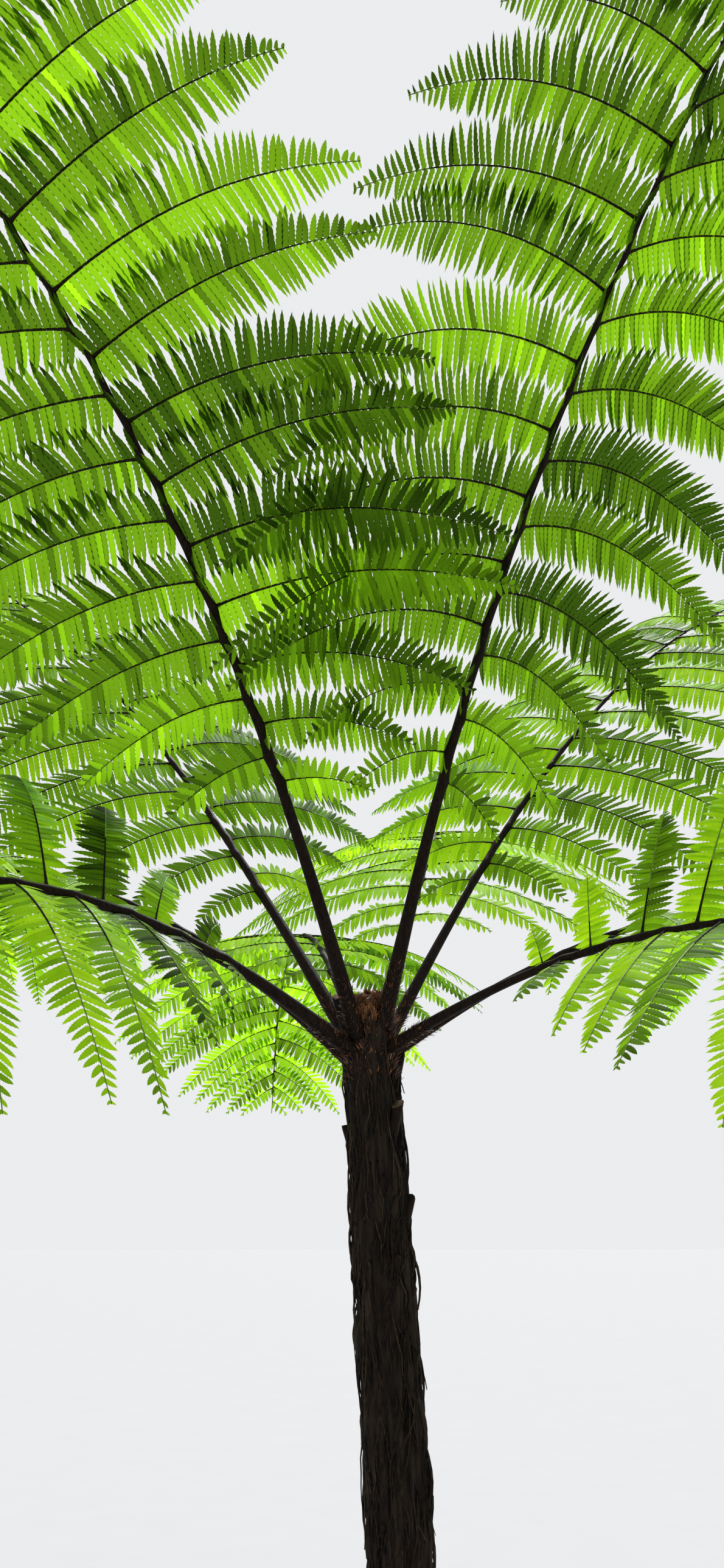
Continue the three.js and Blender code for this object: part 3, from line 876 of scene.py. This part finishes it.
# Leaflets
# Long pointed leaflets with toothed edges and a crease along the middle stand side by side
# along both edges of every side rib. Light comes through them, so lit ones glow.
LEAFLET_SPACING = 0.0122
LEAFLET_FEWEST = 3
LEAFLET_LENGTH = 0.080
LEAFLET_LENGTHS = (0.94, 1.05)
LEAFLET_SHORTEST = 0.08
LEAFLET_NEAR_LENGTH = 0.80
LEAFLET_NEAR_GROWTH = 0.20
LEAFLET_NEAR_END = 0.22
LEAFLET_SHORTENS_FROM = 0.42
LEAFLET_SHORTENS_OVER = 0.60
LEAFLET_SHORTENING = 2.2
LEAFLET_OVERLAP = 1.16
LEAFLET_WIDEST = 0.40
LEAFLET_WIDTH_MARGIN = 0.002
LEAFLET_LAST_PLACE = 0.985
LEAFLET_OFFSETS = {1: 0.6, -1: 0.35}
LEAFLET_TEETH = 7
LEAFLET_TEETH_END = 0.95
LEAFLET_TOOTH_POINT = 0.72
LEAFLET_FOOT_EDGE = 0.95
LEAFLET_NOTCH = 0.80
LEAFLET_PLACES = (0.0, 0.08, 0.50, 0.74, 0.90, 1.04)
LEAFLET_WIDTHS = (0.78, 1.00, 0.94, 0.74, 0.42, 0.0)
LEAFLET_LEAN_BASE = math.radians(86.0)
LEAFLET_LEAN_TIP = math.radians(48.0)
LEAFLET_LEAN_GROWTH = 1.3
LEAFLET_LEAN_SPREAD = 0.03
LEAFLET_SAG = 0.10
LEAFLET_SAG_SPREAD = 0.05
LEAFLET_TILT = 0.10
LEAFLET_TONE_STEPS = (0, 0, 0, 0, 0, 0, 0, 1, -1, -1)
LEAF_FACE_SHARE = 0.75
LEAF_GLOW_SHARE = 1.55
LEAF_GLOW_MOST = 0.95
LEAF_DARK_MOTTLE = 0.6
LEAF_LIGHT_MOTTLE = 1.3
LEAF_VEINS = 16.0
LEAF_VEIN_SLANT = 2.4
LEAF_MIDRIB_HALF_WIDTH = 0.035
# Leaf tones from deep painted shade to painted sunlit yellow-green: lit and shaded copies of one
# leaf colour.
LEAF_SHADE_TO_SUN_TONES = (
    (0.022, 0.052, 0.002),
    (0.052, 0.115, 0.003),
    (0.098, 0.210, 0.004),
    (0.155, 0.330, 0.005),
    (0.255, 0.500, 0.006),
    (0.360, 0.690, 0.008),
)


def leaf_material(name, tone):
    """A thin leaf: a satin face with fine slanting veins, and light that comes through it."""
    face = [LEAF_FACE_SHARE * c for c in tone]
    glow = [min(LEAF_GLOW_MOST, LEAF_GLOW_SHARE * c) for c in tone]
    dark = [LEAF_DARK_MOTTLE * c for c in face]
    light = [LEAF_LIGHT_MOTTLE * c for c in face]
    material = mottled(name, dark, light, 45.0, 0.6, 0.1)
    nodes = material.node_tree.nodes
    links = material.node_tree.links
    nodes["Principled BSDF"].inputs["Specular IOR Level"].default_value = 0.08

    def sum_up(operation, first, second):
        """Result of a sum on two sockets or numbers."""
        node = nodes.new("ShaderNodeMath")
        node.operation = operation
        for socket, value in zip(node.inputs, (first, second)):
            if isinstance(value, float):
                socket.default_value = value
            else:
                links.new(value, socket)
        return node.outputs["Value"]

    flat = nodes.new("ShaderNodeUVMap")
    flat.uv_map = "leaflet"
    parted = nodes.new("ShaderNodeSeparateXYZ")
    links.new(flat.outputs["UV"], parted.inputs["Vector"])
    from_rib = sum_up("ABSOLUTE", sum_up("SUBTRACT", parted.outputs["Y"], 0.5), 0.0)
    set_back = sum_up("MULTIPLY", from_rib, LEAF_VEIN_SLANT / LEAF_VEINS)
    slant = sum_up("SUBTRACT", parted.outputs["X"], set_back)
    veins = sum_up("SINE", sum_up("MULTIPLY", slant, LEAF_VEINS * 2.0 * math.pi), 0.0)
    midrib = sum_up("LESS_THAN", from_rib, LEAF_MIDRIB_HALF_WIDTH)
    mottle = next(node for node in nodes if node.type == "TEX_NOISE").outputs["Fac"]
    ramp = next(node for node in nodes if node.type == "VALTORGB")
    shade = sum_up("ADD", mottle, sum_up("MULTIPLY", veins, 0.09))
    links.new(sum_up("ADD", shade, sum_up("MULTIPLY", midrib, 0.3)), ramp.inputs["Fac"])
    through = nodes.new("ShaderNodeBsdfTranslucent")
    through.inputs["Color"].default_value = (*glow, 1.0)
    both = nodes.new("ShaderNodeMixShader")
    both.inputs["Fac"].default_value = 0.55
    links.new(nodes["Principled BSDF"].outputs["BSDF"], both.inputs[1])
    links.new(through.outputs["BSDF"], both.inputs[2])
    links.new(both.outputs["Shader"], nodes["Material Output"].inputs["Surface"])
    return material


def leaflet_shape(name, curl, hook, fold):
    """One leaflet, 1 long and 1 wide: creased, with teeth that point forward, curling down."""
    flat = []

    def spot(x, y):
        flat.append((x, y))
        return len(flat) - 1

    def half(x):
        return 0.5 * np.interp(x, LEAFLET_PLACES, LEAFLET_WIDTHS)

    stations = []
    for i in range(LEAFLET_TEETH + 1):
        x = LEAFLET_TEETH_END * i / LEAFLET_TEETH
        edge = half(x) * (LEAFLET_FOOT_EDGE if i == 0 else LEAFLET_NOTCH)
        stations.append((spot(x, 0.0), spot(x, edge), spot(x, -edge)))
    faces = []
    for i in range(LEAFLET_TEETH):
        (mid, left, right), (mid_next, left_next, right_next) = stations[i], stations[i + 1]
        x = LEAFLET_TEETH_END * (i + LEAFLET_TOOTH_POINT) / LEAFLET_TEETH
        tooth = spot(x, half(x))
        mirror_tooth = spot(x, -half(x))
        faces += [(mid, mid_next, tooth, left), (mid_next, left_next, tooth)]
        faces += [(mid, right, mirror_tooth, mid_next), (mid_next, mirror_tooth, right_next)]
    tip = spot(LEAFLET_PLACES[-1], 0.0)
    mid, left, right = stations[-1]
    faces += [(mid, tip, left), (mid, right, tip)]
    points = [(x, y + hook * x * x, -curl * x * x - fold * abs(y)) for x, y in flat]
    thing = mesh_object(name, points, faces, [])
    layer = thing.data.uv_layers.new(name="leaflet")
    for loop in thing.data.loops:
        x, y = flat[loop.vertex_index]
        layer.data[loop.index].uv = (x / LEAFLET_PLACES[-1], y + 0.5)
    return thing


# One leaf material for each step of painted shade and painted sunlight.
leaf_shade_to_sun_tones = [leaf_material(f"leaf_shade_to_sun_{i + 1}", tone) for i, tone in enumerate(LEAF_SHADE_TO_SUN_TONES)]
leaflet_labels = ["Leaflet", "Curled leaflet", "Hooked leaflet"]
leaflet_kinds = [
    leaflet_shape("leaflet_a", 0.07, 0.10, 0.06),
    leaflet_shape("leaflet_b", 0.22, -0.06, 0.08),
    leaflet_shape("leaflet_c", 0.13, 0.30, 0.05),
]
tree, named = scatter_tree("leaflets", leaflet_labels, leaf_shade_to_sun_tones)
inputs = {named["Size"]: 1.0}
for label, kind in zip(leaflet_labels, leaflet_kinds):
    inputs[named[label]] = kind

for index, frond in enumerate(FRONDS):
    draw = np.random.default_rng(500 + index)
    points, forwards, upwards, sizes, tones, kinds = [], [], [], [], [], []
    for rib in frond["side_ribs"]:
        reach = rib_line(frond, rib, np.zeros(1))[2]
        count = max(LEAFLET_FEWEST, int(reach / LEAFLET_SPACING))
        for edge in (1, -1):
            tipward = edge * rib["side"] < 0
            out = (np.arange(count) + LEAFLET_OFFSETS[edge]) / count
            out = np.minimum(out, LEAFLET_LAST_PLACE)
            line, normal, _ = rib_line(frond, rib, out)
            ahead, _, _ = rib_line(frond, rib, out + 0.01)
            tangent = unit(ahead - line)
            twist = math.radians(rib["twist"])
            upward = unit(normal - np.sum(normal * tangent, -1, keepdims=True) * tangent)
            beside = np.cross(upward, tangent)
            upward = math.cos(twist) * upward + math.sin(twist) * beside
            beside = np.cross(upward, tangent)
            turning = (LEAFLET_LEAN_TIP - LEAFLET_LEAN_BASE) * out ** LEAFLET_LEAN_GROWTH
            lean = LEAFLET_LEAN_BASE + turning
            lean = lean + draw.normal(0.0, LEAFLET_LEAN_SPREAD, count)
            forward = np.cos(lean)[:, None] * tangent
            forward = forward + edge * np.sin(lean)[:, None] * beside
            sag = LEAFLET_SAG + draw.normal(0.0, LEAFLET_SAG_SPREAD, count)
            forward = unit(forward - sag[:, None] * UP)
            tilt = draw.normal(0.0, LEAFLET_TILT, count)
            opened = np.minimum(1.0, out / LEAFLET_NEAR_END)
            near = LEAFLET_NEAR_LENGTH + LEAFLET_NEAR_GROWTH * opened
            past = np.clip((out - LEAFLET_SHORTENS_FROM) / LEAFLET_SHORTENS_OVER, 0.0, 1.0)
            fullness = near * (1.0 - past ** LEAFLET_SHORTENING)
            long = frond["leaf"] * LEAFLET_LENGTH * math.sqrt(reach / BLADE_HALF_WIDTH)
            long = long * np.maximum(fullness, LEAFLET_SHORTEST)
            long = long * draw.uniform(*LEAFLET_LENGTHS, count)
            room = LEAFLET_OVERLAP * reach / count * np.sin(lean)
            wide = np.minimum(room, LEAFLET_WIDEST * long + LEAFLET_WIDTH_MARGIN)
            points.append(line)
            forwards.append(forward)
            upwards.append(upward + tilt[:, None] * np.cross(upward, forward))
            sizes.append(np.stack([long, wide, long], -1))
            # Painted light: leaflets on the edge of a side rib towards the frond's foot get one
            # tone step brighter.
            tone = rib["tone"] + (0 if tipward else 1)
            tone = tone + draw.choice(LEAFLET_TONE_STEPS, count)
            tones += np.clip(tone, 0, len(LEAF_SHADE_TO_SUN_TONES) - 1).tolist()
            kinds += draw.integers(0, 3, count).tolist()
    piece = grown(
        f"{frond['name']}_leaflets", tree, inputs, np.vstack(points), np.vstack(forwards),
        np.vstack(upwards), np.vstack(sizes), tones, kinds,
    )
    quarters = [
        f"{frond['name']}_frond_{side}_{part}"
        for side in ("left", "right")
        for part in ("lower", "upper")
    ]
    hand_over(piece, quarters)
for kind in leaflet_kinds:
    bpy.data.objects.remove(kind)

# Floor
# A plain pale studio floor, level with the flat cut under the trunk. Its tone is chosen so
# that under the lamps it comes out nearly as pale as the surround, with a faint horizon.
FLOOR_HALF = 60.0
corners = [(-1, -1), (1, -1), (1, 1), (-1, 1)]
floor_points = [(x * FLOOR_HALF, y * FLOOR_HALF, 0.0) for x, y in corners]
pale = mottled("pale_floor", (0.387, 0.389, 0.393), (0.395, 0.397, 0.401), 3.0, 0.9, 0.0)
floor = mesh_object("studio_floor", floor_points, [(0, 1, 2, 3)], [pale])
floor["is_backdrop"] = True

# Light
# Plain soft studio light: a broad lamp high behind the crown that comes through the
# leaflets, and a pale surround that lights all sides.
BACK_LIGHT_FROM = (0.5, 2.0, 3.2)
back_light = bpy.data.lights.new("back_light", "SUN")
back_light.energy = 4.5
back_light.angle = math.radians(14.0)
lamp = bpy.data.objects.new("back_light", back_light)
flat_distance = math.hypot(*BACK_LIGHT_FROM[:2])
lamp.location = BACK_LIGHT_FROM
lamp.rotation_euler = (
    math.atan2(flat_distance, BACK_LIGHT_FROM[2]), 0.0,
    math.atan2(BACK_LIGHT_FROM[0], -BACK_LIGHT_FROM[1]),
)
bpy.context.scene.collection.objects.link(lamp)
world = bpy.data.worlds.new("surround")
world.use_nodes = True
world.node_tree.nodes["Background"].inputs["Color"].default_value = (0.97, 0.98, 1.0, 1.0)
world.node_tree.nodes["Background"].inputs["Strength"].default_value = 0.86
bpy.context.scene.world = world
bpy.context.scene.view_settings.view_transform = "Standard"

# Camera
# A phone camera held at eye height in front of the crown and tipped up a little,
# so the near fronds are seen from below.
EYE = (-0.117, -2.26, 1.67)
TIPPED_UP = math.radians(20.0)
FOCAL_PIXELS = 1935.0
PHOTO_HEIGHT = 2576.0
SENSOR = 36.0

camera_data = bpy.data.cameras.new("camera")
camera_data.sensor_width = SENSOR
camera_data.sensor_fit = "AUTO"
camera_data.lens = SENSOR * FOCAL_PIXELS / PHOTO_HEIGHT
camera_data.clip_start = 0.02
camera_data.clip_end = 200.0
camera = bpy.data.objects.new("camera", camera_data)
camera.location = EYE
camera.rotation_euler = (math.pi / 2 + TIPPED_UP, 0.0, 0.0)
bpy.context.scene.collection.objects.link(camera)
bpy.context.scene.camera = camera

low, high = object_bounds()
